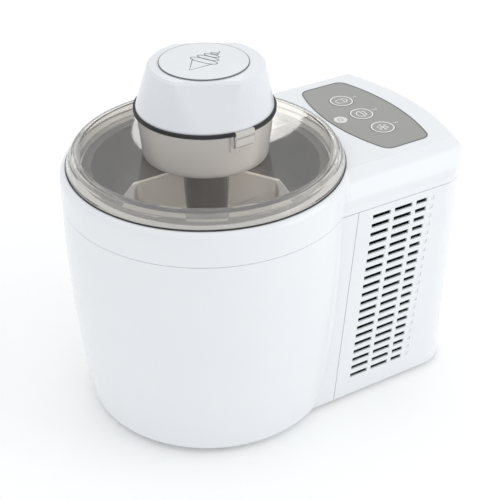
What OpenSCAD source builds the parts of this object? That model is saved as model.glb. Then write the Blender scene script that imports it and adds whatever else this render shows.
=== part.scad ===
// Countertop ice cream maker: round drum, housing beside it, clear lid and a motor unit on top.
// Origin: centre of the footprint on the table. +X runs from the drum to the housing, +Z is up.

/* [Body] */
// Widest diameter of the drum
drum_d = 196; // [196:1:204]
// Distance from the drum's axis to the rear of the housing
reach = 179; // [179:0.5:214.5]
// Height of the top cover above the table
body_h = 185; // [185:1:200]
// Wall thickness of the outer shells
wall = 2.5; // [2:0.1:3]
// Height of the rubber feet
foot_h = 3; // [2.4:0.1:4]
// Height of the top cover's skirt, from the seam up
skirt_h = 23.5; // [20:0.5:27]

/* [Bowl] */
// Depth of the bowl inside
bowl_depth = 45; // [37:0.5:54]
// Thickness of the bowl
bowl_wall = 1.5; // [1.2:0.1:1.8]

/* [Lid] */
// Height of the lid's outer rim
rim_h = 11; // [9:0.5:13]
// Height of the lid's cup rim above the top cover
cup_h = 38; // [32:0.5:38]
// Outer diameter of the cup's rim
cup_d = 90; // [84:0.5:96]

/* [Motor unit] */
// Height of the white cap
cap_h = 30; // [25:0.5:36]
// Travel of a latch tab
latch_travel = 1.5; // [1:0.1:2]

/* [Grille] */
// Rows of slots
slot_rows = 20; // [17:1:20]
// Height of one slot
slot_h = 3.3; // [2.6:0.1:3.6]
// Width of a full slot
slot_w = 15; // [12:0.5:16]

/* [Controls] */
// Diameter of a programme button
prog_d = 17.6; // [15:0.1:19]
// Diameter of the start button
start_d = 10; // [8:0.1:12]
// Travel of a button
key_travel = 0.5; // [0.3:0.1:0.6]

/* [Fan] */
// Side of the square fan frame
fan_size = 80; // [68:1:92]
// Number of fan blades
fan_blades = 7; // [5:1:9]

/* [Hidden] */
$fn = 96;
gap = 0.3;
drum_r = drum_d / 2;
k = drum_r / 98;
drum_x = -(reach - drum_r) / 2;
bulge_r = 1000;
bulge_z = body_h - 35;
seam_z = body_h - skirt_h;
shell_top = seam_z - 0.35;
top_th = 3.5;

house_w = 160 * k;
side_lean = 5;
end_lean = 3;
side_a = atan(side_lean / (seam_z - foot_h));
corner_r = 26;
corner_y = house_w / 2 - corner_r;
corner_x = sqrt(pow(reach - corner_r, 2) - pow(corner_y, 2));
corner_u = [corner_x, -corner_y] / (reach - corner_r);
shoulder_r = 28.5;
shoulder_z = body_h - 26.5;
edge_r = 8;
crease = 0.2;
drum_edge = 6;
strip_x = 70 * k;
strip_a = 3.6;
rear_half = 46 * k;
ledge = 3;
tongue_h = 6.5;

lid_r = 93.5 * k;
open_r = 86 * k;
bowl_r = 77 * k;
bowl_top = body_h - 3;
bowl_low_r = 71 * k;
bowl_fillet = 20;
bowl_floor = bowl_top - bowl_depth;
lip_r = open_r - 2.5;
ledge_in = open_r - 4.5;
ledge_z = bowl_top - bowl_wall;
cup_gap = 0.4;
cooler_wall = 2.5;
cooler_bottom = bowl_floor - bowl_wall - cup_gap - cooler_wall;
foam_bottom = cooler_bottom - 3;

tec_s = 40;
tec_h = 4;
sink_top = cooler_bottom - tec_h;
sink_base = 6;
sink_x = 100;
sink_y = 84;
sink_low = foot_h + 45;
fin_count = 15;
fin_t = 1.2;

plate_t = 3;
plate_top = foot_h + plate_t;
fan_t = 25;
fan_x = sink_x / 2 + 4;
fan_z = plate_top + 4 + fan_size / 2;
fan_bore = fan_size / 2 - 2;
rotor_r = fan_bore - 1.2;

cup_r = cup_d / 2;
cup_wall = 2.2;
cup_floor = body_h + 8;
cup_base_r = 40.7;
rim_z = body_h + rim_h;
hole_r = 9.3;
ring_z = body_h + cup_h;
ring_t = 2.6;
ring_r = cup_r + 2;
cap_z = ring_z + ring_t;
cap_r = cup_r + 0.4;
grip_r = 39;
grip_flat = 33;
grip_turn = -29;
grip_shift = 1.5;
badge_r = 29;
base_r = 38.2;
base_wall = 2;
motor_r = 25;
motor_h = 22;
tab_w = 14;
tab_h = 6;
lip_t = 2.6;
notch_w = 15.6;
latch_turn = 3;
notch_h = 9;

hex_r = 5.6;
hub_r = 16.7;
hub_low_r = 14;
hub_top = cup_floor - cup_wall - 0.4;
hub_low = bowl_floor + 1;
blade_t = 3;
blade_turn = -29;

panel_z = body_h - 0.8;
panel_in = 102 * k;
panel_out = reach - 21.5;
panel_half = 53.5 * k;
panel_bow = 140;
key_x = (panel_in + panel_out) / 2 - 0.6;
key_pitch = 25 * k;
start_x = panel_in + 8.6;
board_z = body_h - 13;
switch_h = 4;

slot_top = seam_z - 6;
slot_pitch = (slot_top - foot_h - 19) / (slot_rows - 1);
slot_x = 82 * k;
slot_gap = 3.4;
short_w = 9.4;
mark_w = 3;
grille_wall = 1.3;

guide_x = drum_r - wall - 1;
guide_end = 138 * k;
guide_half = 70 * k;
guide_wall = 2;
guide_z = plate_top + 3.2;
guide_top = 150 - (185 - body_h);

white = [0.93, 0.94, 0.95];
grey = [0.6, 0.6, 0.58];
dark = [0.15, 0.15, 0.16];
metal = [0.75, 0.76, 0.78];
smoke = [0.75, 0.7, 0.63, 0.4];
green = [0.1, 0.4, 0.2];

// Points of an arc in the radius-height plane
function arc(cx, cz, r, a0, a1, n = 10) =
    [for (i = [0:n]) [cx + r * cos(a0 + (a1 - a0) * i / n), cz + r * sin(a0 + (a1 - a0) * i / n)]];

module at_drum() {
    translate([drum_x, 0, 0]) children();
}

// Hollow cylinder between two heights
module tube(r_out, r_in, z0, z1) {
    translate([0, 0, z0])
        linear_extrude(height = z1 - z0)
            difference() {
                circle(r = r_out);
                circle(r = r_in);
            }
}

// Half section of the drum: a shallow barrel curve
module drum_section(inset, z0, z1) {
    intersection() {
        translate([0, z0]) square([drum_r + 5, z1 - z0]);
        translate([drum_r - bulge_r, bulge_z]) circle(r = bulge_r - inset, $fn = 720);
    }
}

// Plan of one housing side with its rear corner rounded
module corner_plan(inset) {
    hw = house_w / 2 - inset;
    translate([corner_x, -corner_y]) circle(r = corner_r - inset);
    polygon([[20, -hw], [corner_x, -hw], [corner_x, -corner_y], corner_u * 2 * reach,
        [2 * reach, 2 * reach], [20, 2 * reach]]);
}

module side_prism(inset) {
    translate([0, -house_w / 2, seam_z])
        rotate([side_a, 0, 0])
            translate([0, house_w / 2, -seam_z - 20])
                linear_extrude(height = body_h + 60) corner_plan(inset);
}

// Housing between two heights, leaning in towards the table
module house_form(inset, z0, z1) {
    r0 = reach - end_lean * (seam_z - z0) / (seam_z - foot_h) - inset;
    r1 = reach - end_lean * (seam_z - z1) / (seam_z - foot_h) - inset;
    intersection() {
        rotate_extrude() polygon([[0, z0], [r0, z0], [r1, z1], [0, z1]]);
        side_prism(inset);
        mirror([0, 1, 0]) side_prism(inset);
    }
}

module house_skin(z0, z1) {
    difference() {
        house_form(0, z0, z1);
        house_form(wall, z0 - 1, z1 + 1);
    }
}

// Cross section of the housing's shoulders
module shoulder_section(inset, z0, z1) {
    c = house_w / 2 - shoulder_r;
    intersection() {
        translate([-house_w, z0]) square([2 * house_w, z1 - z0]);
        union() {
            translate([-c, 0]) square([2 * c, 2 * body_h]);
            translate([c, shoulder_z]) circle(r = shoulder_r - inset);
            translate([-c, shoulder_z]) circle(r = shoulder_r - inset);
        }
    }
}

// Half section with its top outer edge rounded, meeting the flat top in a faint crease
module rounded_section(r, e, z0, z1) {
    intersection() {
        translate([0, z0]) square([r, z1 - z0]);
        union() {
            translate([0, z0]) square([r, z1 - e + crease - z0]);
            translate([0, z0]) square([r - e, z1 - z0]);
            translate([r - e, z1 - e + crease]) circle(r = e);
        }
    }
}

// Top part of the housing, above the seam
module house_top(inset, z0, z1) {
    intersection() {
        rotate_extrude() rounded_section(reach - inset, edge_r - inset, z0, z1);
        side_prism(inset);
        mirror([0, 1, 0]) side_prism(inset);
        translate([20, 0, 0])
            rotate([90, 0, 90])
                linear_extrude(height = reach) shoulder_section(inset, z0, z1);
    }
}

// Outline of drum and housing together at one height
module plan(drum_in, house_in) {
    circle(r = drum_r - drum_in);
    intersection() {
        circle(r = reach - house_in);
        corner_plan(house_in);
        mirror([0, 1]) corner_plan(house_in);
    }
}

// Half section of the drum with its bottom edge rounded
module drum_round(inset, z1) {
    drum_section(inset, foot_h + drum_edge, z1);
    translate([0, foot_h + inset]) square([drum_low_r, drum_edge]);
    translate([drum_low_r, foot_h + drum_edge]) circle(r = drum_edge - inset);
}

// Everything in front of the slanted joint between drum shell and side panels
module strip_block(shift) {
    translate([strip_x + shift, -2 * reach, seam_z])
        rotate([0, strip_a, 0])
            translate([-2 * reach, 0, -2 * body_h])
                cube([2 * reach, 4 * reach, 4 * body_h]);
}

// ---------- fixed outside ----------

module base_plan() {
    plan(drum_r - (drum_low_r - 2 - gap), side_lean + wall + gap);
}

function drum_section_r(z) = drum_r - bulge_r + sqrt(pow(bulge_r, 2) - pow(z - bulge_z, 2));
drum_low_r = drum_section_r(foot_h + drum_edge) - drum_edge;

feet_xy = [[-55 * k, 42 * k], [-55 * k, -42 * k], [reach - 38, 48 * k], [reach - 38, -48 * k]];
screw_xy = [[-72 * k, 0], [20 * k, 70 * k], [20 * k, -70 * k], [reach - 18, 0]];

module base_plate() {
    color(white) at_drum() {
        difference() {
            union() {
                translate([0, 0, foot_h]) linear_extrude(height = plate_t) base_plan();
                for (y = [-1, 1])
                    translate([fan_x, y * (fan_size / 2 - 8) - 4, plate_top - 0.1])
                        cube([fan_t, 8, fan_z - fan_size / 2 - plate_top + 0.1]);
                for (x = [126 * k, reach - 32], y = [-36, 36])
                    translate([x, y, plate_top - 0.1]) cylinder(r = 3.5, h = 8.1);
            }
            for (i = [0:8])
                translate([-34 + i * 8, -22, foot_h - 1]) cube([3, 44, plate_t + 2]);
            for (p = screw_xy) translate([p[0], p[1], foot_h - 1]) cylinder(r = 1.9, h = plate_t + 2);
            for (p = screw_xy) translate([p[0], p[1], foot_h - 1]) cylinder(r = 3.8, h = 2.6);
        }
    }
}

module rubber_feet() {
    color(dark) at_drum()
        for (p = feet_xy) translate([p[0], p[1], 0]) {
            cylinder(r1 = 7.4, r2 = 8, h = 1);
            translate([0, 0, 1]) cylinder(r = 8, h = foot_h - 1);
        }
}

module base_screws() {
    color(metal) at_drum()
        for (p = screw_xy) translate([p[0], p[1], foot_h]) {
            cylinder(r = 1.6, h = 16);
            difference() {
                cylinder(r = 3.4, h = 1.6);
                translate([-2.2, -0.5, -1]) cube([4.4, 1, 1.8]);
                translate([-0.5, -2.2, -1]) cube([1, 4.4, 1.8]);
            }
        }
}

// Post for a base screw, with its pilot hole
module screw_post(p) {
    translate([p[0], p[1], plate_top])
        difference() {
            cylinder(r = 4.5, h = 20);
            translate([0, 0, -1]) cylinder(r = 1.6, h = 15);
        }
}

module drum_shell() {
    color(white) at_drum() {
        difference() {
            rotate_extrude() drum_round(0, shell_top);
            rotate_extrude() drum_round(wall, shell_top + 1);
            translate([0, 0, foot_h - 1]) cylinder(r = drum_low_r - 2, h = 5);
            house_form(0, foot_h - 1, shell_top + 1);
            // fine groove where the drum meets the housing
            difference() {
                house_form(-0.5, foot_h - 1, shell_top + 1);
                rotate_extrude() drum_round(0.7, shell_top + 2);
            }
        }
        difference() {
            intersection() {
                house_skin(foot_h, shell_top);
                strip_block(-0.25);
            }
            rotate_extrude() drum_round(wall - 0.1, shell_top + 1);
            translate([0, 0, foot_h - 1]) cylinder(r = drum_low_r - 2, h = 5);
        }
        // ledge under the top cover's tongue and ledge on the base plate
        difference() {
            union() {
                tube(drum_r - wall + 0.4, drum_r - wall - ledge, seam_z - tongue_h - 3, seam_z - tongue_h);
                rotate_extrude() difference() {
                    translate([0, plate_top]) square([drum_low_r + 3.4, 3]);
                    translate([0, plate_top - 1]) square([drum_low_r - 6, 6]);
                }
            }
            translate([20, -house_w / 2 + side_lean, 0]) cube([reach, house_w - 2 * side_lean, body_h]);
            house_form(-0.1, foot_h - 1, shell_top + 1);
        }
        for (i = [0:2]) screw_post(screw_xy[i]);
        translate([-drum_section_r(foot_h + 12) + wall - 0.5, -1.5, plate_top]) cube([12, 3, 20]);
        for (s = [-1, 1])
            translate([20 * k - 1.5, s > 0 ? 73 * k : -83 * k, plate_top]) cube([3, 10 * k, 20]);
    }
}

// Joint line detail shared by side and rear panels: ledges top and bottom
module house_ledges() {
    for (z = [plate_top, seam_z - tongue_h - 3])
        difference() {
            house_form(wall - 0.4, z, z + 3);
            house_form(z < seam_z / 2 ? wall + 7 : wall + ledge, z - 1, z + 4);
        }
}

module slots() {
    for (r = [0:slot_rows - 1]) {
        lean = -r * slot_pitch * tan(strip_a);
        z = slot_top - r * slot_pitch - slot_h;
        for (c = [0:2])
            translate([slot_x + lean + c * (slot_w + slot_gap), -house_w, z])
                cube([c < 2 ? slot_w : short_w, house_w, slot_h]);
    }
}

// Blind marks that carry the rows of slots on towards the rear
module blind_marks() {
    difference() {
        for (r = [0:slot_rows - 1])
            translate([slot_x - r * slot_pitch * tan(strip_a) + 2 * (slot_w + slot_gap) + short_w + 3.2,
                -house_w, slot_top - r * slot_pitch - slot_h + 0.2])
                cube([mark_w, house_w, slot_h - 0.4]);
        house_form(0.5, foot_h - 1, shell_top + 1);
    }
}

// Thinner wall behind the slots
module grille_pocket() {
    intersection() {
        house_form(grille_wall, foot_h + 1, shell_top - 1);
        translate([72 * k, -house_w, foot_h + 12])
            cube([60 * k, house_w - 50, slot_top - foot_h - 10]);
    }
}

module side_panel() {
    difference() {
        union() {
            house_skin(foot_h, shell_top);
            house_ledges();
        }
        strip_block(0.25);
        translate([0, -rear_half, 0]) cube([2 * reach, 3 * reach, 2 * body_h]);
        slots();
        blind_marks();
        grille_pocket();
    }
}

module side_panel_right() {
    color(white) at_drum() side_panel();
}

module side_panel_left() {
    color(white) at_drum() mirror([0, 1, 0]) side_panel();
}

gland_z = foot_h + 24;

module rear_panel() {
    color(white) at_drum()
        difference() {
            union() {
                intersection() {
                    union() {
                        house_skin(foot_h, shell_top);
                        house_ledges();
                    }
                    translate([reach / 2, -rear_half + 0.4, 0])
                        cube([reach, 2 * rear_half - 0.8, 2 * body_h]);
                }
                screw_post(screw_xy[3]);
                translate([reach - 15, -2, plate_top]) cube([11, 4, 20]);
            }
            for (i = [0:9], y = [-1, 1])
                translate([reach - 20, y * 19 - 15, foot_h + 55 + i * 8]) cube([40, 30, 3.2]);
            translate([reach - 20, 26 * k, gland_z]) rotate([0, 90, 0]) cylinder(r = 6.1, h = 40);
        }
}

module cord_gland() {
    color(dark) at_drum()
        translate([reach - 12.4, 26 * k, gland_z])
            rotate([0, 90, 0])
                difference() {
                    union() {
                        cylinder(r = 6, h = 9);
                        translate([0, 0, -1]) cylinder(r = 8, h = 4);
                    }
                    translate([0, 0, -2]) cylinder(r = 3.2, h = 20);
                }
}

// ---------- controls ----------

panel_corner = 8;
bow_x = panel_in + panel_bow;
corner_mid = panel_half - panel_corner;
corner_in = bow_x - sqrt(pow(panel_bow - panel_corner, 2) - pow(corner_mid, 2));
corner_out = sqrt(pow(panel_out - panel_corner, 2) - pow(corner_mid, 2));

// Leaf shaped outline of the control panel: two arcs and two straight ends, joined by round corners
module panel_plan(inset) {
    h = panel_half - inset;
    half = [[bow_x + (corner_in - bow_x) * 1.2, corner_mid * 1.2], [corner_in, corner_mid],
        [corner_in, h], [corner_out, h], [corner_out, corner_mid], [corner_out * 1.2, corner_mid * 1.2]];
    intersection() {
        circle(r = panel_out - inset, $fn = 180);
        translate([bow_x, 0]) circle(r = panel_bow - inset, $fn = 180);
        polygon(concat(half, [for (i = [5:-1:0]) [half[i][0], -half[i][1]]]));
    }
    for (x = [corner_in, corner_out], s = [-1, 1])
        translate([x, s * corner_mid]) circle(r = panel_corner - inset);
}

module key_places() {
    for (i = [-1:1]) translate([key_x, i * key_pitch, 0]) children();
}

module control_panel() {
    color(grey) at_drum()
        difference() {
            translate([0, 0, panel_z]) linear_extrude(height = body_h - panel_z + 0.15) panel_plan(0.15);
            key_places() translate([0, 0, panel_z - 1]) cylinder(r = prog_d / 2 + gap, h = 4);
            translate([start_x, 0, panel_z - 1]) cylinder(r = start_d / 2 + gap, h = 4);
        }
}

module key(d) {
    translate([0, 0, body_h - top_th + 0.2]) cylinder(r = d / 2, h = top_th + 0.1);
    translate([0, 0, body_h - top_th - 1.4]) cylinder(r = d / 2 + 1.2, h = 1.2);
    translate([0, 0, body_h - top_th - 0.3]) cylinder(r = d / 2, h = 0.6);
    translate([0, 0, board_z + switch_h + key_travel + 0.1])
        cylinder(r = 2, h = body_h - top_th - 1.3 - board_z - switch_h - key_travel);
}

module program_button_1() {
    color(grey) at_drum() translate([key_x, key_pitch, 0]) key(prog_d);
}

module program_button_2() {
    color(grey) at_drum() translate([key_x, 0, 0]) key(prog_d);
}

module program_button_3() {
    color(grey) at_drum() translate([key_x, -key_pitch, 0]) key(prog_d);
}

module start_button() {
    color(white) at_drum() translate([start_x, 0, 0]) key(start_d);
}

board_xy = [[start_x - 3, 34 * k], [start_x - 3, -34 * k], [panel_out - 8, 34 * k], [panel_out - 8, -34 * k]];

module control_board() {
    color(green) at_drum()
        difference() {
            translate([start_x - 8, -39 * k, board_z - 1.6])
                cube([panel_out - start_x + 5, 78 * k, 1.6]);
            for (p = board_xy) translate([p[0], p[1], board_z - 3]) cylinder(r = 1.6, h = 5);
        }
}

module tact_switches() {
    color(dark) at_drum() {
        key_places() translate([0, 0, board_z]) {
            translate([-3, -3, 0]) cube([6, 6, switch_h - 0.8]);
            cylinder(r = 1.7, h = switch_h);
        }
        translate([start_x, 0, board_z]) {
            translate([-3, -3, 0]) cube([6, 6, switch_h - 0.8]);
            cylinder(r = 1.7, h = switch_h);
        }
    }
}

module board_screws() {
    color(metal) at_drum()
        for (p = board_xy) translate([p[0], p[1], board_z - 3.2]) {
            cylinder(r = 2.6, h = 1.6);
            cylinder(r = 1.3, h = 9);
        }
}

// ---------- top cover ----------

module top_cover() {
    color(white) at_drum() {
        difference() {
            union() {
                rotate_extrude() rounded_section(drum_r, 6, seam_z, body_h);
                house_top(0, seam_z, body_h);
            }
            translate([0, 0, seam_z - 1]) cylinder(r = drum_r - wall, h = skirt_h - top_th + 1);
            house_top(wall, seam_z - 1, body_h - top_th);
            translate([0, 0, body_h - 10]) cylinder(r = open_r, h = 20);
            translate([0, 0, panel_z]) linear_extrude(height = 5) panel_plan(0);
            key_places() translate([0, 0, body_h - 10]) cylinder(r = prog_d / 2 + gap, h = 20);
            translate([start_x, 0, body_h - 10]) cylinder(r = start_d / 2 + gap, h = 20);
        }
        // wall round the opening and the ledge that carries the bowl
        tube(open_r + wall, open_r, ledge_z - 3.5, body_h - top_th + 0.5);
        tube(open_r + 1, ledge_in, ledge_z - 3.5, ledge_z);
        // tongue that drops inside the shells
        difference() {
            translate([0, 0, seam_z - tongue_h]) linear_extrude(height = tongue_h + 3)
                difference() {
                    plan(wall + gap, wall + gap);
                    plan(wall + 2.2, wall + 2.2);
                }
        }
        tube(drum_r - wall + 0.2, drum_r - wall - 2.2, seam_z + 1, seam_z + 4);
        for (p = board_xy)
            translate([p[0], p[1], board_z])
                difference() {
                    cylinder(r = 3.2, h = body_h - top_th - board_z + 0.3);
                    translate([0, 0, -1]) cylinder(r = 1.3, h = 7);
                }
    }
}

// ---------- cold side ----------

// Outline of the bowl from the axis out, o outside its inner face
function bowl_pts(o) = concat(
    [[0, bowl_floor - o]],
    arc(bowl_low_r - bowl_fillet, bowl_floor + bowl_fillet, bowl_fillet + o, -90, -8, 9),
    [[bowl_r + o, bowl_top]]);

module bowl_solid(o, top) {
    rotate_extrude() polygon(concat(bowl_pts(o), [[bowl_r + o, top], [0, top]]));
}

module bowl() {
    color(metal) at_drum() {
        difference() {
            bowl_solid(bowl_wall, bowl_top);
            bowl_solid(0, bowl_top + 1);
        }
        tube(lip_r, bowl_r + bowl_wall - 0.2, bowl_top - bowl_wall, bowl_top);
    }
}

module cooling_cup() {
    color(metal) at_drum() {
        difference() {
            bowl_solid(bowl_wall + cup_gap + cooler_wall, bowl_top + 1);
            bowl_solid(bowl_wall + cup_gap, bowl_top + 2);
            translate([0, 0, ledge_z - 3.5]) cylinder(r = drum_r, h = 20);
        }
        difference() {
            tube(open_r + wall, bowl_r, ledge_z - 5.5, ledge_z - 3.5);
            bowl_solid(bowl_wall + cup_gap + 0.2, bowl_top + 2);
        }
    }
}

module insulation_ring() {
    color([0.85, 0.85, 0.8]) at_drum()
        difference() {
            translate([0, 0, foam_bottom]) cylinder(r = drum_r - wall - 3.2, h = ledge_z - 5.5 - foam_bottom);
            bowl_solid(bowl_wall + cup_gap + cooler_wall + 0.05, bowl_top + 1);
            translate([-tec_s - 4, -tec_s / 2 - 2, foam_bottom - 1]) cube([2 * tec_s + 8, tec_s + 4, 8]);
        }
}

module thermoelectric_modules() {
    color([0.9, 0.9, 0.88]) at_drum()
        for (s = [-1, 1]) translate([s * (tec_s / 2 + 1) - tec_s / 2, -tec_s / 2, sink_top])
            cube([tec_s, tec_s, tec_h]);
}

module heat_sink() {
    color(metal) at_drum() {
        translate([-sink_x / 2, -sink_y / 2, sink_top - 3 - sink_base])
            cube([sink_x, sink_y, sink_base]);
        translate([-tec_s - 2, -tec_s / 2, sink_top - 3.1]) cube([2 * tec_s + 4, tec_s, 3.1]);
        for (i = [0:fin_count - 1])
            translate([-sink_x / 2, -sink_y / 2 + i * (sink_y - fin_t) / (fin_count - 1), sink_low])
                cube([sink_x, fin_t, sink_top - 3 - sink_base + 0.1 - sink_low]);
    }
}

module at_fan() {
    translate([fan_x, 0, fan_z]) rotate([0, 90, 0]) children();
}

module fan_frame() {
    color(dark) at_drum() at_fan() {
        difference() {
            translate([-fan_size / 2, -fan_size / 2, 0]) cube([fan_size, fan_size, fan_t]);
            translate([0, 0, -1]) cylinder(r = fan_bore, h = fan_t + 2);
            for (x = [-1, 1], y = [-1, 1])
                translate([x * (fan_size / 2 - 4.5), y * (fan_size / 2 - 4.5), -1]) cylinder(r = 2, h = fan_t + 2);
        }
        difference() {
            union() {
                cylinder(r = 16, h = 3);
                for (a = [45:90:315]) rotate([0, 0, a]) translate([14, -2, 0]) cube([fan_bore - 13, 4, 3]);
            }
            translate([0, 0, -1]) cylinder(r = 1.56, h = 6);
        }
    }
}

module fan_rotor() {
    color(dark) at_drum() at_fan() {
        translate([0, 0, 4]) cylinder(r = 17, h = fan_t - 5);
        translate([0, 0, 0.5]) cylinder(r = 1.5, h = 4);
        for (i = [0:fan_blades - 1])
            rotate([0, 0, i * 360 / fan_blades])
                translate([0, 0, fan_t / 2 + 1.5])
                    rotate([38, 0, 0])
                        translate([16, -10, -0.8]) cube([rotor_r - 18, 20, 1.6]);
    }
}

// Wedge that turns the fan's air out through both grilles, with its floor
module air_guide() {
    inner = guide_wall * 1.23;
    color(dark) at_drum() {
        for (part = [[guide_z, guide_wall, 0], [guide_z, guide_top - guide_z, 1]])
            translate([0, 0, part[0]])
                linear_extrude(height = part[1])
                    difference() {
                        if (part[2] == 0)
                            translate([guide_x - 5, -guide_half - 1.5])
                                square([guide_end - guide_x + 5, 2 * guide_half + 3]);
                        else
                            polygon([[guide_x, 0], [guide_end, -guide_half], [guide_end, guide_half]]);
                        polygon([[guide_x + inner, 0], [guide_end + 0.1, -guide_half + 1.7 * guide_wall],
                            [guide_end + 0.1, guide_half - 1.7 * guide_wall]]);
                    }
        for (y = [-55 * k, 55 * k])
            translate([guide_x - 2, y - 4, plate_top]) cube([8, 8, guide_z - plate_top + 0.1]);
    }
}

module power_board() {
    color(green) at_drum()
        translate([122 * k, -38, plate_top + 8]) cube([reach - 26 - 122 * k, 76, 1.6]);
}

module power_parts() {
    color(dark) at_drum()
        translate([reach - 50, 0, plate_top + 9.6]) {
            translate([-6, -34, 0]) cube([28, 26, 24]);
            translate([2, 8, 0]) cylinder(r = 8, h = 26);
            translate([2, 28, 0]) cylinder(r = 6, h = 22);
            translate([14, -4, 0]) cube([3, 34, 28]);
        }
}

// ---------- lid ----------

// Half section of the lid: plate, skirt that centres it in the opening, outer rim, then the cup
skirt_r = open_r - gap;
lid_under = rim_z - cup_wall - 0.4;
lid_outline = [[0, cup_floor - cup_wall], [cup_base_r, cup_floor - cup_wall],
    [skirt_r - 1.5, lid_under], [skirt_r - 1.5, body_h - 2.4], [skirt_r, body_h - 2.4],
    [skirt_r, lid_under], [lid_r - 6.2, lid_under], [lid_r - 4.2, rim_z - 4.6],
    [lid_r - cup_wall, body_h + 1.4], [lid_r - cup_wall, body_h], [lid_r, body_h],
    [lid_r, body_h + 1.6], [lid_r - 0.8, body_h + 4], [lid_r - 2.2, rim_z - 3.8],
    [lid_r - 4.2, rim_z - 1.2], [lid_r - 6.4, rim_z - 0.2], [lid_r - 9, rim_z],
    [cup_base_r + 1.5, cup_floor + 0.2], [cup_r, ring_z - 2], [cup_r, ring_z], [0, ring_z]];

module lid() {
    color(smoke) at_drum() {
        difference() {
            rotate_extrude()
                difference() {
                    polygon(lid_outline);
                    polygon([[0, cup_floor], [cup_base_r - cup_wall, cup_floor],
                        [cup_r - cup_wall, ring_z - 3], [cup_r - cup_wall, ring_z + 1], [0, ring_z + 1]]);
                }
            translate([0, 0, cup_floor - 10]) cylinder(r = hole_r, h = 20);
            latch_notches();
        }
        difference() {
            intersection() {
                tube(cup_r + 0.8, cup_r - 1, ring_z - notch_h - 2, ring_z);
                for (s = [0, 180])
                    rotate([0, 0, latch_turn + s])
                        translate([-notch_w / 2 - 2, -cup_r - 5, ring_z - notch_h - 3])
                            cube([notch_w + 4, 20, notch_h + 8]);
            }
            latch_notches();
        }
    }
}

module latch_notches() {
    for (s = [0, 180])
        rotate([0, 0, latch_turn + s])
            translate([-notch_w / 2, -cup_r - 5, ring_z - notch_h]) cube([notch_w, 14, notch_h + 5]);
}

// ---------- paddle ----------

module paddle_hub() {
    color(dark) at_drum()
        difference() {
            union() {
                translate([0, 0, hub_low]) cylinder(r1 = hub_low_r, r2 = hub_r, h = hub_top - hub_low);
                translate([0, 0, hub_top - 0.1]) cylinder(r = hole_r - gap, h = cup_wall + 0.4);
            }
            translate([0, 0, hub_top - 16]) cylinder(r = hex_r + gap, h = 40, $fn = 6);
        }
}

// One wing of the paddle in its own plane
module wing() {
    x1 = bowl_r - 27;
    x2 = bowl_low_r - 12;
    z1 = bowl_top - 6;
    z2 = bowl_floor + 5;
    translate([0, blade_t / 2, 0])
        rotate([90, 0, 0])
            linear_extrude(height = blade_t)
                polygon([[10, z1], [hub_r + 2, z1 - 1], [x1, z1 - 11], [x2, z1 - 24],
                    [x2 - 2, z2 + 2], [x2 - 8, z2 - 2], [10, z2 - 2]]);
}

module paddle() {
    color([0.9, 0.88, 0.84]) at_drum()
        rotate([0, 0, blade_turn])
            difference() {
                union() {
                    for (s = [0, 180]) rotate([0, 0, s]) wing();
                    translate([0, 0, bowl_floor + 3]) cylinder(r = hub_low_r + 2.2, h = 6);
                }
                translate([0, 0, bowl_floor]) cylinder(r = hub_low_r - 2, h = 20);
                translate([0, 0, hub_low]) cylinder(r1 = hub_low_r, r2 = hub_r, h = hub_top - hub_low);
            }
}

// ---------- motor unit ----------

module motor_gasket() {
    color(dark) at_drum()
        difference() {
            tube(ring_r, base_r - base_wall, ring_z + 0.2, ring_z + ring_t);
            for (s = [0, 180])
                rotate([0, 0, latch_turn + s])
                    translate([-tab_w / 2 - gap, -ring_r - 2, ring_z - 1])
                        cube([tab_w + 2 * gap, 2 + lip_t + latch_travel + gap, ring_t + 2]);
        }
}

module motor_base() {
    color(white) at_drum()
        difference() {
            translate([0, 0, cup_floor + 0.4])
                cylinder(r1 = base_r - 1.5, r2 = base_r, h = ring_z + 0.2 - cup_floor - 0.4);
            translate([0, 0, cup_floor + 0.4 + base_wall])
                cylinder(r = base_r - 1.5 - base_wall, h = cup_h);
            translate([0, 0, cup_floor - 1]) cylinder(r = hex_r + 2, h = 10);
            for (s = [0, 180])
                rotate([0, 0, latch_turn + s])
                    translate([-tab_w / 2 - gap, -base_r - 6, ring_z - notch_h + 1])
                        cube([tab_w + 2 * gap, 12, tab_h + 0.8]);
        }
}

// Round foot that turns into an oval grip with two sloping flats
module cap_form() {
    hull() {
        translate([0, 0, cap_z]) cylinder(r = cap_r, h = 1);
        grip_slice(0, cap_h - 4.5);
        grip_slice(0.7, cap_h - 2);
        grip_slice(2.4, cap_h - 0.5);
    }
}

// Flat slice of the grip, drawn in by an amount near the top
module grip_slice(inset, h) {
    rotate([0, 0, grip_turn])
        translate([grip_shift, 0, cap_z + h - 0.5])
            intersection() {
                cylinder(r = grip_r - inset, h = 0.5, $fn = 72);
                translate([-drum_r, -grip_flat + inset, 0]) cube([2 * drum_r, 2 * (grip_flat - inset), 1]);
            }
}

module motor_cap() {
    color(white) at_drum()
        difference() {
            cap_form();
            cap_form_inner();
            translate([0, 0, cap_z + cap_h - 1]) cylinder(r = badge_r + 0.2, h = 5);
        }
}

module cap_form_inner() {
    translate([0, 0, cap_z - 1]) cylinder(r1 = cap_r - 4, r2 = grip_flat - 3.5, h = cap_h - 2);
}

module cap_badge() {
    color(white) at_drum()
        translate([0, 0, cap_z + cap_h - 1]) {
            cylinder(r = badge_r, h = 1.3);
        }
}

module geared_motor() {
    color(metal) at_drum() {
        z0 = cup_floor + 0.4 + base_wall;
        difference() {
            union() {
                translate([0, 0, z0]) cylinder(r = motor_r, h = motor_h);
                translate([-32, -6, z0]) cube([64, 12, 2]);
            }
            translate([0, 0, z0 - 1]) cylinder(r = 3.05, h = 14);
            for (s = [-1, 1]) translate([s * 28.5, 0, z0 - 1]) cylinder(r = 1.7, h = 5);
        }
    }
}

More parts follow.
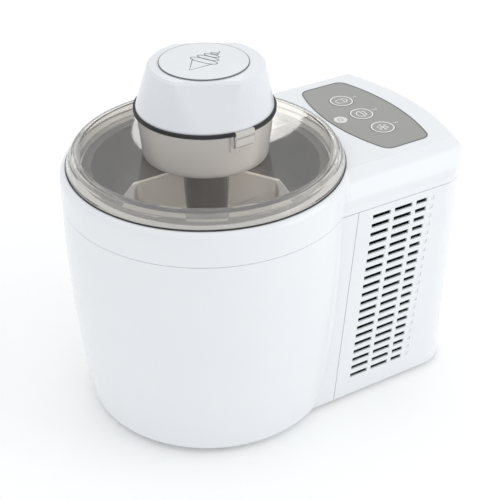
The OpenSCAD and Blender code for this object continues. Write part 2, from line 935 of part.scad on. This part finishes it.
module motor_screws() {
    color(metal) at_drum()
        for (s = [-1, 1]) translate([s * 28.5, 0, cup_floor + 2.4 + base_wall]) cylinder(r = 3, h = 1.8);
}

module output_shaft() {
    color(metal) at_drum() {
        translate([0, 0, cup_floor + 2]) cylinder(r = 3, h = 12);
        translate([0, 0, hub_top - 15]) cylinder(r = hex_r, h = cup_floor + 2 - hub_top + 15, $fn = 6);
    }
}

// Tab with a lip in front of the gasket and a finger groove
module latch_tab() {
    z0 = ring_z - notch_h + 1.4;
    difference() {
        union() {
            translate([-tab_w / 2, -ring_r, z0]) cube([tab_w, ring_r - base_r + 4.2, tab_h]);
            translate([-tab_w / 2, -ring_r, z0]) cube([tab_w, lip_t, cap_z - gap - z0]);
        }
        translate([-tab_w / 2 - 1, -ring_r - 1, z0 + tab_h - 1]) cube([tab_w + 2, 2.2, 1.6]);
    }
}

module latch_tab_right() {
    color(white) at_drum() rotate([0, 0, latch_turn]) latch_tab();
}

module latch_tab_left() {
    color(white) at_drum() rotate([0, 0, latch_turn + 180]) latch_tab();
}

base_plate();
rubber_feet();
base_screws();
drum_shell();
top_cover();
side_panel_right();
side_panel_left();
rear_panel();
cord_gland();
control_panel();
program_button_1();
program_button_2();
program_button_3();
start_button();
control_board();
tact_switches();
board_screws();
bowl();
cooling_cup();
insulation_ring();
thermoelectric_modules();
heat_sink();
fan_frame();
fan_rotor();
air_guide();
power_board();
power_parts();
lid();
paddle_hub();
paddle();
motor_gasket();
motor_base();
motor_cap();
cap_badge();
geared_motor();
motor_screws();
output_shaft();
latch_tab_right();
latch_tab_left();
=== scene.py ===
import math

import bmesh
import bpy
from mathutils import Matrix, Vector


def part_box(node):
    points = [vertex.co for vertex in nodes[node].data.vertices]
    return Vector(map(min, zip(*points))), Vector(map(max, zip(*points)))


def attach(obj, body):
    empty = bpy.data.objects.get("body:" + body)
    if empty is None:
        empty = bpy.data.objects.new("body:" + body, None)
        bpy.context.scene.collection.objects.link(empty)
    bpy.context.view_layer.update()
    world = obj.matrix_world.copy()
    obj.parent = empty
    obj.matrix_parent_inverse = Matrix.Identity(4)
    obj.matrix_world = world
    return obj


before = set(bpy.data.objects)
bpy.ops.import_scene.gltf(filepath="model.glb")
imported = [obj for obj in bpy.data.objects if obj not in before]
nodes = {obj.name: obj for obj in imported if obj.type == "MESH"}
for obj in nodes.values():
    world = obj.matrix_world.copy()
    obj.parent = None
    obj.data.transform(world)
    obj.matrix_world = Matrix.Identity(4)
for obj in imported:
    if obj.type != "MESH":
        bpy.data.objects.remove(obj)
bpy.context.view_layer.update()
scene = bpy.context.scene

# ---------------------------------------------------------------- sizes taken from the CAD

MM = 0.001
lid_low, lid_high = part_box("lid")
AXIS_X = (lid_low.x + lid_high.x) / 2
BODY_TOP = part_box("top_cover")[1].z
LID_R = (lid_high.x - lid_low.x) / 2


def at_axis(x, y, z):
    """A point given from the drum's axis, in metres."""
    return Vector((AXIS_X + x, y, z))


# ---------------------------------------------------------------- camera

EYE_FROM_AXIS = Vector((-0.35025, -0.6216, 0.5654))
AHEAD = Vector((0.4444, 0.7175, -0.5363))
UP = Vector((0.2822, 0.4561, 0.8440))
LENS = 86.4


def make_camera():
    data = bpy.data.cameras.new("studio_camera")
    data.lens = LENS
    data.sensor_width = 36.0
    data.clip_start = 0.05
    data.clip_end = 50.0
    camera = bpy.data.objects.new("studio_camera", data)
    scene.collection.objects.link(camera)
    back = -AHEAD.normalized()
    right = UP.cross(back).normalized()
    up = back.cross(right).normalized()
    turn = Matrix((right, up, back)).transposed().to_4x4()
    camera.matrix_world = Matrix.Translation(Vector((AXIS_X, 0, 0)) + EYE_FROM_AXIS) @ turn
    scene.camera = camera


make_camera()


# ---------------------------------------------------------------- shader groups

def new_group(name, inputs, outputs):
    group = bpy.data.node_groups.new(name, "ShaderNodeTree")
    for label, kind, default in inputs:
        socket = group.interface.new_socket(label, in_out="INPUT", socket_type=kind)
        socket.default_value = default
    for label, kind in outputs:
        group.interface.new_socket(label, in_out="OUTPUT", socket_type=kind)
    start = group.nodes.new("NodeGroupInput")
    end = group.nodes.new("NodeGroupOutput")
    return group, start, end


def add(tree, kind, **settings):
    node = tree.nodes.new(kind)
    for key, value in settings.items():
        setattr(node, key, value)
    return node


def moulded_skin_group():
    """Fine spark grain of a mould, slow waviness of the wall and faint handling marks."""
    group, start, end = new_group(
        "moulded_skin",
        [("Grain Scale", "NodeSocketFloat", 900.0), ("Wave Scale", "NodeSocketFloat", 26.0),
         ("Wave Share", "NodeSocketFloat", 0.5)],
        [("Height", "NodeSocketFloat"), ("Marks", "NodeSocketFloat"), ("Tone", "NodeSocketFloat")])
    link = group.links.new
    place = add(group, "ShaderNodeTexCoord")
    grain = add(group, "ShaderNodeTexNoise")
    grain.inputs["Detail"].default_value = 3.0
    wave = add(group, "ShaderNodeTexNoise")
    wave.inputs["Detail"].default_value = 1.0
    marks = add(group, "ShaderNodeTexNoise")
    marks.inputs["Scale"].default_value = 60.0
    marks.inputs["Detail"].default_value = 6.0
    marks.inputs["Roughness"].default_value = 0.65
    for texture in (grain, wave, marks):
        link(place.outputs["Object"], texture.inputs["Vector"])
    link(start.outputs["Grain Scale"], grain.inputs["Scale"])
    link(start.outputs["Wave Scale"], wave.inputs["Scale"])
    mix = add(group, "ShaderNodeMix", data_type="FLOAT")
    link(start.outputs["Wave Share"], mix.inputs["Factor"])
    link(grain.outputs["Fac"], mix.inputs["A"])
    link(wave.outputs["Fac"], mix.inputs["B"])
    link(mix.outputs["Result"], end.inputs["Height"])
    spread = add(group, "ShaderNodeMapRange")
    spread.inputs["From Min"].default_value = 0.35
    spread.inputs["From Max"].default_value = 0.7
    link(marks.outputs["Fac"], spread.inputs["Value"])
    link(spread.outputs["Result"], end.inputs["Marks"])
    link(wave.outputs["Fac"], end.inputs["Tone"])
    return group


def brushed_group():
    """Fine turned or brushed lines round the drum's axis, for metal."""
    group, start, end = new_group(
        "turned_lines",
        [("Lines", "NodeSocketFloat", 2600.0), ("Cloud Scale", "NodeSocketFloat", 40.0)],
        [("Height", "NodeSocketFloat"), ("Cloud", "NodeSocketFloat")])
    link = group.links.new
    place = add(group, "ShaderNodeTexCoord")
    stretch = add(group, "ShaderNodeMapping")
    stretch.inputs["Scale"].default_value = (0.02, 0.02, 1.0)
    link(place.outputs["Object"], stretch.inputs["Vector"])
    lines = add(group, "ShaderNodeTexNoise")
    lines.inputs["Detail"].default_value = 2.0
    link(start.outputs["Lines"], lines.inputs["Scale"])
    link(stretch.outputs["Vector"], lines.inputs["Vector"])
    cloud = add(group, "ShaderNodeTexNoise")
    cloud.inputs["Detail"].default_value = 4.0
    link(start.outputs["Cloud Scale"], cloud.inputs["Scale"])
    link(place.outputs["Object"], cloud.inputs["Vector"])
    link(lines.outputs["Fac"], end.inputs["Height"])
    link(cloud.outputs["Fac"], end.inputs["Cloud"])
    return group


SKIN = moulded_skin_group()
TURNED = brushed_group()


# ---------------------------------------------------------------- materials

def new_material(name):
    material = bpy.data.materials.new(name)
    material.use_nodes = True
    tree = material.node_tree
    tree.nodes.clear()
    shader = add(tree, "ShaderNodeBsdfPrincipled")
    out = add(tree, "ShaderNodeOutputMaterial")
    tree.links.new(shader.outputs["BSDF"], out.inputs["Surface"])
    return material, tree, shader


def tone_mix(tree, factor, low, high, socket):
    """Base colour that drifts between two close tones."""
    mix = add(tree, "ShaderNodeMix", data_type="RGBA")
    mix.inputs[6].default_value = (*low, 1)
    mix.inputs[7].default_value = (*high, 1)
    tree.links.new(factor, mix.inputs["Factor"])
    tree.links.new(mix.outputs[2], socket)


def rough_range(tree, factor, low, high, socket):
    spread = add(tree, "ShaderNodeMapRange")
    spread.inputs["To Min"].default_value = low
    spread.inputs["To Max"].default_value = high
    tree.links.new(factor, spread.inputs["Value"])
    tree.links.new(spread.outputs["Result"], socket)


def bump(tree, height, shader, strength, distance):
    node = add(tree, "ShaderNodeBump")
    node.inputs["Strength"].default_value = strength
    node.inputs["Distance"].default_value = distance
    tree.links.new(height, node.inputs["Height"])
    tree.links.new(node.outputs["Normal"], shader.inputs["Normal"])


def moulded(name, low, high, rough, grain=900.0, wave=26.0, share=0.5, strength=0.12,
            distance=0.0002, coat=0.0, coat_rough=0.05, **plain):
    material, tree, shader = new_material(name)
    skin = add(tree, "ShaderNodeGroup", node_tree=SKIN)
    skin.inputs["Grain Scale"].default_value = grain
    skin.inputs["Wave Scale"].default_value = wave
    skin.inputs["Wave Share"].default_value = share
    tone_mix(tree, skin.outputs["Tone"], low, high, shader.inputs["Base Color"])
    rough_range(tree, skin.outputs["Marks"], rough[0], rough[1], shader.inputs["Roughness"])
    bump(tree, skin.outputs["Height"], shader, strength, distance)
    shader.inputs["Coat Weight"].default_value = coat
    shader.inputs["Coat Roughness"].default_value = coat_rough
    for key, value in plain.items():
        shader.inputs[key.replace("_", " ")].default_value = value
    return material


def metal(name, low, high, rough, lines=2600.0, strength=0.1, metallic=1.0):
    material, tree, shader = new_material(name)
    turned = add(tree, "ShaderNodeGroup", node_tree=TURNED)
    turned.inputs["Lines"].default_value = lines
    tone_mix(tree, turned.outputs["Cloud"], low, high, shader.inputs["Base Color"])
    rough_range(tree, turned.outputs["Cloud"], rough[0], rough[1], shader.inputs["Roughness"])
    bump(tree, turned.outputs["Height"], shader, strength, 0.0001)
    shader.inputs["Metallic"].default_value = metallic
    return material


white_gloss = moulded("white_gloss", (0.81, 0.835, 0.855), (0.84, 0.86, 0.875), (0.16, 0.26),
                      share=0.8, strength=0.05, coat=0.25)
cap_gloss = moulded("cap_gloss", (0.74, 0.765, 0.79), (0.77, 0.79, 0.81), (0.14, 0.24),
                    share=0.8, strength=0.05, coat=0.3)
badge_white = moulded("badge_white", (0.74, 0.76, 0.775), (0.77, 0.785, 0.80), (0.35, 0.45),
                      share=0.3, strength=0.05)
# Black rubber for the feet and the motor gasket; the same finish paints the dark shade ring at the lid's
# foot.
rubber_and_painted_shade = moulded("black_rubber_and_painted_shade", (0.012, 0.012, 0.013), (0.022, 0.022, 0.023), (0.5, 0.7),
                 strength=0.3)
# Dark plastic for the fan, gland, switches and power parts; on the air guide it also paints the shade
# inside the housing.
dark_plastic = moulded("dark_plastic", (0.020, 0.019, 0.019), (0.034, 0.032, 0.031), (0.22, 0.4),
                       strength=0.15)
hub_plastic = moulded("hub_plastic", (0.055, 0.050, 0.046), (0.08, 0.072, 0.066), (0.18, 0.3),
                      strength=0.12)
panel_film = moulded("panel_film", (0.31, 0.307, 0.292), (0.335, 0.332, 0.315), (0.3, 0.4),
                     grain=1500.0, share=0.2, strength=0.08)
panel_ink = moulded("panel_ink", (0.84, 0.84, 0.83), (0.9, 0.9, 0.89), (0.35, 0.45), strength=0.05)
start_key = moulded("start_key", (0.72, 0.72, 0.70), (0.77, 0.77, 0.75), (0.3, 0.4), strength=0.05)
# The paddle's plastic glows faintly in a warm tint: painted light that brightens the wings under the
# smoky lid.
wing_plastic_painted_glow = moulded("wing_plastic_painted_glow", (0.80, 0.77, 0.72), (0.86, 0.83, 0.78), (0.18, 0.3),
                       strength=0.08, Emission_Color=(1.0, 0.96, 0.91, 1), Emission_Strength=0.16)
# The motor base's plastic glows faintly: painted light that brightens it where it is seen through the
# lid's cup.
unit_base_plastic_painted_glow = moulded("unit_base_plastic_painted_glow", (0.80, 0.77, 0.73), (0.84, 0.81, 0.77), (0.2, 0.32),
                            strength=0.06, Emission_Color=(1.0, 0.955, 0.915, 1),
                            Emission_Strength=0.12)
latch_plastic = moulded("latch_plastic", (0.62, 0.59, 0.55), (0.68, 0.65, 0.61), (0.2, 0.3),
                        strength=0.08)
# Dark ink for the badge's print; the same finish paints the shade line in the gap round the control
# panel.
dark_ink_and_painted_shade = moulded("dark_ink_and_painted_shade", (0.13, 0.13, 0.135), (0.17, 0.17, 0.175), (0.4, 0.5), strength=0.05)
panel_mark = moulded("panel_mark", (0.30, 0.30, 0.29), (0.35, 0.35, 0.34), (0.35, 0.45),
                     strength=0.05)
foam = moulded("white_foam", (0.78, 0.76, 0.68), (0.86, 0.84, 0.78), (0.8, 0.95), grain=420.0,
               share=0.1, strength=0.6, distance=0.0006)
ceramic = moulded("ceramic_plate", (0.82, 0.82, 0.80), (0.9, 0.9, 0.88), (0.35, 0.5), strength=0.1)
board_mask = moulded("board_mask", (0.015, 0.10, 0.045), (0.03, 0.16, 0.07), (0.25, 0.4),
                     grain=260.0, share=0.3, strength=0.2)
bowl_metal = metal("bowl_metal", (0.085, 0.079, 0.074), (0.11, 0.103, 0.097), (0.42, 0.55),
                   metallic=0.25)
alloy = metal("cast_alloy", (0.62, 0.63, 0.64), (0.72, 0.73, 0.74), (0.28, 0.45))
steel = metal("bright_steel", (0.60, 0.60, 0.61), (0.70, 0.70, 0.71), (0.2, 0.32))


def smoky_clear(name, tint, rough, clear=1.0):
    """Clear plastic with a warm smoke tint and faint moulding waves, milkier where it is thick."""
    material, tree, shader = new_material(name)
    skin = add(tree, "ShaderNodeGroup", node_tree=SKIN)
    skin.inputs["Wave Scale"].default_value = 18.0
    skin.inputs["Wave Share"].default_value = 0.95
    shader.inputs["Base Color"].default_value = (*tint, 1)
    shader.inputs["Transmission Weight"].default_value = clear
    shader.inputs["IOR"].default_value = 1.5
    rough_range(tree, skin.outputs["Marks"], rough[0], rough[1], shader.inputs["Roughness"])
    bump(tree, skin.outputs["Height"], shader, 0.06, 0.0004)
    see_through = add(tree, "ShaderNodeBsdfTransparent")
    see_through.inputs["Color"].default_value = (*tint, 1)
    path = add(tree, "ShaderNodeLightPath")
    either = add(tree, "ShaderNodeMixShader")
    tree.links.new(path.outputs["Is Shadow Ray"], either.inputs["Fac"])
    tree.links.new(shader.outputs["BSDF"], either.inputs[1])
    tree.links.new(see_through.outputs["BSDF"], either.inputs[2])
    tree.links.new(either.outputs["Shader"], tree.nodes["Material Output"].inputs["Surface"])
    return material


smoky_lid = smoky_clear("smoky_lid", (0.975, 0.948, 0.912), (0.01, 0.04))
smoky_cup = smoky_clear("smoky_cup", (0.965, 0.935, 0.90), (0.02, 0.06), 0.6)
smoky_rim = smoky_clear("smoky_rim", (0.985, 0.965, 0.935), (0.01, 0.04), 0.9)

FINISHES = {
    white_gloss: ["base_plate", "drum_shell", "top_cover", "side_panel_right", "side_panel_left",
                  "rear_panel"],
    unit_base_plastic_painted_glow: ["motor_base"],
    latch_plastic: ["latch_tab_right", "latch_tab_left"],
    cap_gloss: ["motor_cap"],
    badge_white: ["cap_badge"],
    rubber_and_painted_shade: ["rubber_feet", "motor_gasket"],
    # The dark air guide behind the vent slots is painted shade for the dark inside of the housing; the
    # fan and the other parts here are real dark plastic.
    dark_plastic: ["air_guide", "cord_gland", "tact_switches", "fan_frame", "fan_rotor", "power_parts"],
    hub_plastic: ["paddle_hub"],
    panel_film: ["control_panel", "program_button_1", "program_button_2", "program_button_3"],
    start_key: ["start_button"],
    wing_plastic_painted_glow: ["paddle"],
    foam: ["insulation_ring"],
    ceramic: ["thermoelectric_modules"],
    board_mask: ["control_board", "power_board"],
    bowl_metal: ["bowl"],
    alloy: ["cooling_cup", "heat_sink", "geared_motor"],
    steel: ["base_screws", "board_screws", "motor_screws", "output_shaft"],
    smoky_lid: ["lid"],
}


def dress(piece, material):
    piece.data.materials.clear()
    piece.data.materials.append(material)


for finish, names in FINISHES.items():
    for name in names:
        dress(nodes[name], finish)



CUP_R = 46.2 * MM
RIM_BAND = 9.5 * MM


def milky_where_thick():
    """The lid's cup and its outer rim take milkier finishes; its flat plate stays clear."""
    lid = nodes["lid"]
    lid.data.materials.append(smoky_cup)
    lid.data.materials.append(smoky_rim)
    points = [lid.matrix_world @ v.co for v in lid.data.vertices]
    for face in lid.data.polygons:
        away = [math.hypot(points[i].x - AXIS_X, points[i].y) for i in face.vertices]
        if max(away) < CUP_R:
            face.material_index = 1
        elif min(away) > LID_R - RIM_BAND:
            face.material_index = 2


milky_where_thick()

# ---------------------------------------------------------------- mesh helpers

def new_piece(name, mesh, material, body):
    piece = bpy.data.objects.new(name, mesh)
    scene.collection.objects.link(piece)
    piece.data.materials.append(material)
    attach(piece, body)
    return piece


def ring_mesh(name, section, centre, steps=96):
    """Turns a closed section of (radius, height) points round a vertical line through centre."""
    bm = bmesh.new()
    loops = []
    for i in range(steps):
        a = 2 * math.pi * i / steps
        loops.append([bm.verts.new(centre + Vector((r * math.cos(a), r * math.sin(a), z)))
                      for r, z in section])
    count = len(section)
    for i in range(steps):
        here, there = loops[i], loops[(i + 1) % steps]
        for j in range(count):
            face = bm.faces.new((here[j], there[j], there[(j + 1) % count], here[(j + 1) % count]))
            face.smooth = True
    bmesh.ops.recalc_face_normals(bm, faces=bm.faces)
    mesh = bpy.data.meshes.new(name)
    bm.to_mesh(mesh)
    bm.free()
    return mesh


def round_section(radius, height, half_width, half_height, points=10):
    return [(radius + half_width * math.cos(2 * math.pi * i / points),
             height + half_height * math.sin(2 * math.pi * i / points)) for i in range(points)]


def stroke_into(bm, path, width, low, high, closed=False):
    """A line of constant width along a flat path of (x, y) points, a little raised: printed marks, and
    the painted shade line round the control panel.
    """
    points = [Vector((*p, 0)) for p in path]
    count = len(points)
    rows = []
    for i, p in enumerate(points):
        before = points[i - 1] if (i or closed) else p
        after = points[(i + 1) % count] if (i < count - 1 or closed) else p
        along = (after - before).normalized()
        side = Vector((-along.y, along.x, 0)) * (width / 2)
        rows.append([bm.verts.new((*(p + side).xy, low)), bm.verts.new((*(p + side).xy, high)),
                     bm.verts.new((*(p - side).xy, high)), bm.verts.new((*(p - side).xy, low))])
    last = count if closed else count - 1
    for i in range(last):
        a, b = rows[i], rows[(i + 1) % count]
        for j in range(4):
            bm.faces.new((a[j], b[j], b[(j + 1) % 4], a[(j + 1) % 4]))
    if not closed:
        bm.faces.new(rows[0])
        bm.faces.new(rows[-1][::-1])


def arc_path(cx, cy, r, a0, a1, steps=24):
    return [(cx + r * math.cos(math.radians(a0 + (a1 - a0) * i / steps)),
             cy + r * math.sin(math.radians(a0 + (a1 - a0) * i / steps))) for i in range(steps + 1)]


def circle_path(cx, cy, r, steps=48):
    return arc_path(cx, cy, r, 0, 360, steps)[:-1]


def strokes_mesh(name, strokes, width, place, turn, low, high):
    """Strokes are (points, closed) in metres, turned and then moved to place."""
    bm = bmesh.new()
    for path, closed in strokes:
        stroke_into(bm, path, width, low, high, closed)
    bmesh.ops.recalc_face_normals(bm, faces=bm.faces)
    bm.transform(Matrix.Translation(place) @ Matrix.Rotation(turn, 4, "Z"))
    mesh = bpy.data.meshes.new(name)
    bm.to_mesh(mesh)
    bm.free()
    return mesh


# ---------------------------------------------------------------- dark ring at the lid's foot: painted shade for the dark gap and dark reflection along the lid's edge

new_piece("lid_foot_painted_shade", ring_mesh("lid_foot_painted_shade", round_section(LID_R + 0.1 * MM, BODY_TOP + 0.5 * MM,
                                                          0.55 * MM, 0.55 * MM), at_axis(0, 0, 0), 160),
          rubber_and_painted_shade, "lid")

# ---------------------------------------------------------------- badge on the cap

badge_low, badge_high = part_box("cap_badge")
badge_r = (badge_high.x - badge_low.x) / 2
badge_top = badge_high.z
new_piece("badge_ring",
          ring_mesh("badge_ring", round_section(badge_r + 0.1 * MM, badge_top - 0.35 * MM,
                                                0.45 * MM, 0.4 * MM), at_axis(0, 0, 0), 128),
          dark_ink_and_painted_shade, "motor_unit")


def swirl_strokes():
    """A soft-ice swirl on a cone."""
    cone = [(-7.5, -1.9), (0.0, -17.0), (7.5, -1.9)]
    strokes = [([(x * MM, y * MM) for x, y in cone], False)]
    for radius, height, sag in ((10.0, 0.0, 3.0), (8.0, 5.0, 2.5), (5.5, 9.5, 1.9), (2.8, 13.2, 1.1)):
        path = [(radius * math.cos(math.radians(a)) * MM,
                 (height + sag * math.sin(math.radians(a))) * MM) for a in range(0, 360, 12)]
        strokes.append((path, True))
    strokes.append(([(x * MM, y * MM) for x, y in ((0.8, 14.5), (2.0, 16.5), (0.5, 17.8))], False))
    return strokes


new_piece("badge_mark",
          strokes_mesh("badge_mark", swirl_strokes(), 0.7 * MM, at_axis(0, 0, badge_top),
                       math.radians(-62), -0.05 * MM, 0.06 * MM),
          dark_ink_and_painted_shade, "motor_unit")

# ---------------------------------------------------------------- dark edge of the control panel: a painted shade line in the gap round the panel

PANEL_BOW = 140 * MM
PANEL_CORNER = 8 * MM


def panel_outline():
    """The panel's outline from the drum's axis: bowed side, round corners, straight ends, rear arc."""
    low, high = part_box("control_panel")
    inner, outer, half = low.x - AXIS_X, high.x - AXIS_X, high.y
    bow_x = inner + PANEL_BOW
    mid_y = half - PANEL_CORNER
    near_x = bow_x - math.sqrt((PANEL_BOW - PANEL_CORNER) ** 2 - mid_y ** 2)
    far_x = math.sqrt((outer - PANEL_CORNER) ** 2 - mid_y ** 2)
    far_turn = math.degrees(math.atan2(mid_y, far_x))
    near_turn = math.degrees(math.atan2(mid_y, near_x - bow_x))
    side = arc_path(far_x, mid_y, PANEL_CORNER, far_turn, 90, 10)
    side += arc_path(near_x, mid_y, PANEL_CORNER, 90, near_turn, 10)
    bow = arc_path(bow_x, 0, PANEL_BOW, near_turn, 360 - near_turn, 40)
    mirrored = [(x, -y) for x, y in reversed(side)]
    rear = arc_path(0, 0, outer, -far_turn, far_turn, 40)
    return side + bow[1:-1] + mirrored + rear[1:-1]


new_piece("panel_edge_painted_shade",
          strokes_mesh("panel_edge_painted_shade", [(panel_outline(), True)], 0.9 * MM, at_axis(0, 0, BODY_TOP), 0,
                       -0.1 * MM, 0.28 * MM), dark_ink_and_painted_shade, "base")

# ---------------------------------------------------------------- marks on the programme keys

KEY_TURN = math.radians(-90)


def key_centre(name):
    low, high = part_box(name)
    return (low + high) / 2, high.z


def cup_strokes(s):
    return [([(-2.6 * s, 1.0 * s), (-1.7 * s, -3.0 * s), (1.7 * s, -3.0 * s), (2.6 * s, 1.0 * s)], True),
            (arc_path(0, 1.0 * s, 2.3 * s, 0, 180), False)]


def bowl_strokes(s):
    return [(arc_path(0, 0.4 * s, 3.2 * s, 180, 360), True),
            (arc_path(-0.9 * s, 1.2 * s, 1.4 * s, 10, 170, 12), False),
            (arc_path(1.3 * s, 1.0 * s, 1.2 * s, 10, 170, 12), False)]


def flake_strokes(s):
    strokes = []
    for i in range(6):
        a = math.radians(60 * i)
        c, n = math.cos(a), math.sin(a)
        strokes.append(([(0, 0), (3.3 * s * c, 3.3 * s * n)], False))
        for side in (-1, 1):
            b = a + side * math.radians(50)
            strokes.append(([(2.0 * s * c, 2.0 * s * n),
                             (2.0 * s * c + 1.1 * s * math.cos(b), 2.0 * s * n + 1.1 * s * math.sin(b))],
                            False))
    return strokes


ICONS = {"program_button_1": cup_strokes, "program_button_2": bowl_strokes,
         "program_button_3": flake_strokes}
DIGITS = {
    "program_button_1": [[(-0.5, 0.9), (0.2, 1.6), (0.2, -1.6)]],
    "program_button_2": [[(-0.9, 0.9), (-0.5, 1.5), (0.4, 1.5), (0.9, 0.9), (0.8, 0.2), (-0.9, -1.6),
                          (1.0, -1.6)]],
    "program_button_3": [[(-0.9, 1.2), (-0.2, 1.6), (0.6, 1.4), (0.8, 0.7), (0.0, 0.1), (0.8, -0.5),
                          (0.8, -1.2), (0.0, -1.6), (-0.9, -1.2)]],
}
BODIES = {"program_button_1": "key_1", "program_button_2": "key_2", "program_button_3": "key_3"}

panel_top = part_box("control_panel")[1].z
for name, icon in ICONS.items():
    centre, top = key_centre(name)
    spot = Vector((centre.x, centre.y, top))
    new_piece(name + "_ring",
              strokes_mesh(name + "_ring", [(circle_path(0, 0, 8.0 * MM), True)], 0.9 * MM, spot, 0,
                           -0.05 * MM, 0.06 * MM), panel_ink, BODIES[name])
    new_piece(name + "_icon",
              strokes_mesh(name + "_icon", icon(1.35 * MM), 0.68 * MM, spot, KEY_TURN,
                           -0.05 * MM, 0.06 * MM), panel_ink, BODIES[name])
    digit = [([(x * MM, y * MM) for x, y in path], False) for path in DIGITS[name]]
    new_piece(name + "_number",
              strokes_mesh(name + "_number", digit, 0.4 * MM,
                           Vector((centre.x + 12.6 * MM, centre.y + 1.5 * MM, panel_top)), KEY_TURN,
                           -0.05 * MM, 0.05 * MM), panel_ink, "base")

start_centre, start_top = key_centre("start_button")
start_strokes = [(arc_path(0, 0, 1.9 * MM, 125, 415), False), ([(0, 0.6 * MM), (0, 2.6 * MM)], False)]
new_piece("start_button_mark",
          strokes_mesh("start_button_mark", start_strokes, 0.5 * MM,
                       Vector((start_centre.x, start_centre.y, start_top)), KEY_TURN,
                       -0.05 * MM, 0.06 * MM), panel_mark, "key_start")

# ---------------------------------------------------------------- studio

def make_floor():
    bm = bmesh.new()
    bmesh.ops.create_grid(bm, x_segments=2, y_segments=2, size=4.0)
    mesh = bpy.data.meshes.new("studio_floor")
    bm.to_mesh(mesh)
    bm.free()
    floor = bpy.data.objects.new("studio_floor", mesh)
    scene.collection.objects.link(floor)
    material, tree, shader = new_material("floor_paper")
    shader.inputs["Base Color"].default_value = (0.97, 0.97, 0.97, 1)
    shader.inputs["Roughness"].default_value = 0.9
    shader.inputs["Specular IOR Level"].default_value = 0.1
    shader.inputs["Emission Color"].default_value = (1, 1, 1, 1)
    shader.inputs["Emission Strength"].default_value = 0.06
    floor.data.materials.append(material)


def softbox(name, place, aim, size, power):
    data = bpy.data.lights.new(name, "AREA")
    data.shape = "RECTANGLE"
    data.size, data.size_y = size
    data.energy = power
    lamp = bpy.data.objects.new(name, data)
    scene.collection.objects.link(lamp)
    lamp.location = place
    lamp.rotation_euler = (Vector(aim) - Vector(place)).to_track_quat("-Z", "Y").to_euler()


def strip_light(name, edge_a, edge_b, seen_from, size, power):
    """A small soft box standing on a line and turned to face a point; measured from the axis."""
    middle = (edge_a + edge_b) / 2
    out = (middle - seen_from).normalized()
    along = edge_b - edge_a
    along = (along - out * along.dot(out)).normalized()
    up = out.cross(along)
    if up.z < 0:
        along, up = -along, -up
    data = bpy.data.lights.new(name, "AREA")
    data.shape = "RECTANGLE"
    data.size, data.size_y = size
    data.energy = power
    data.color = (1.0, 0.98, 0.95)
    lamp = bpy.data.objects.new(name, data)
    scene.collection.objects.link(lamp)
    turn = Matrix((along, up, out)).transposed().to_4x4()
    centre = middle + up * size[1] / 2 + Vector((AXIS_X, 0, 0))
    lamp.matrix_world = Matrix.Translation(centre) @ turn


make_floor()
world = bpy.data.worlds.new("studio_world")
world.use_nodes = True
world.node_tree.nodes["Background"].inputs["Color"].default_value = (0.97, 0.985, 1.0, 1)
world.node_tree.nodes["Background"].inputs["Strength"].default_value = 0.87
scene.world = world
scene.view_settings.view_transform = "Standard"

softbox("right_box", (1.1, -0.9, 0.9), (0, 0, 0.12), (1.2, 1.0), 5)
softbox("top_box", (-0.1, 0.3, 1.7), (0, 0, 0.1), (1.6, 1.6), 3)
strip_light("back_strip", Vector((0.795, 1.375, 1.049)), Vector((0.866, 1.331, 1.087)),
            Vector((0.057, -0.02, 0.196)), (0.19, 0.17), 0.5)
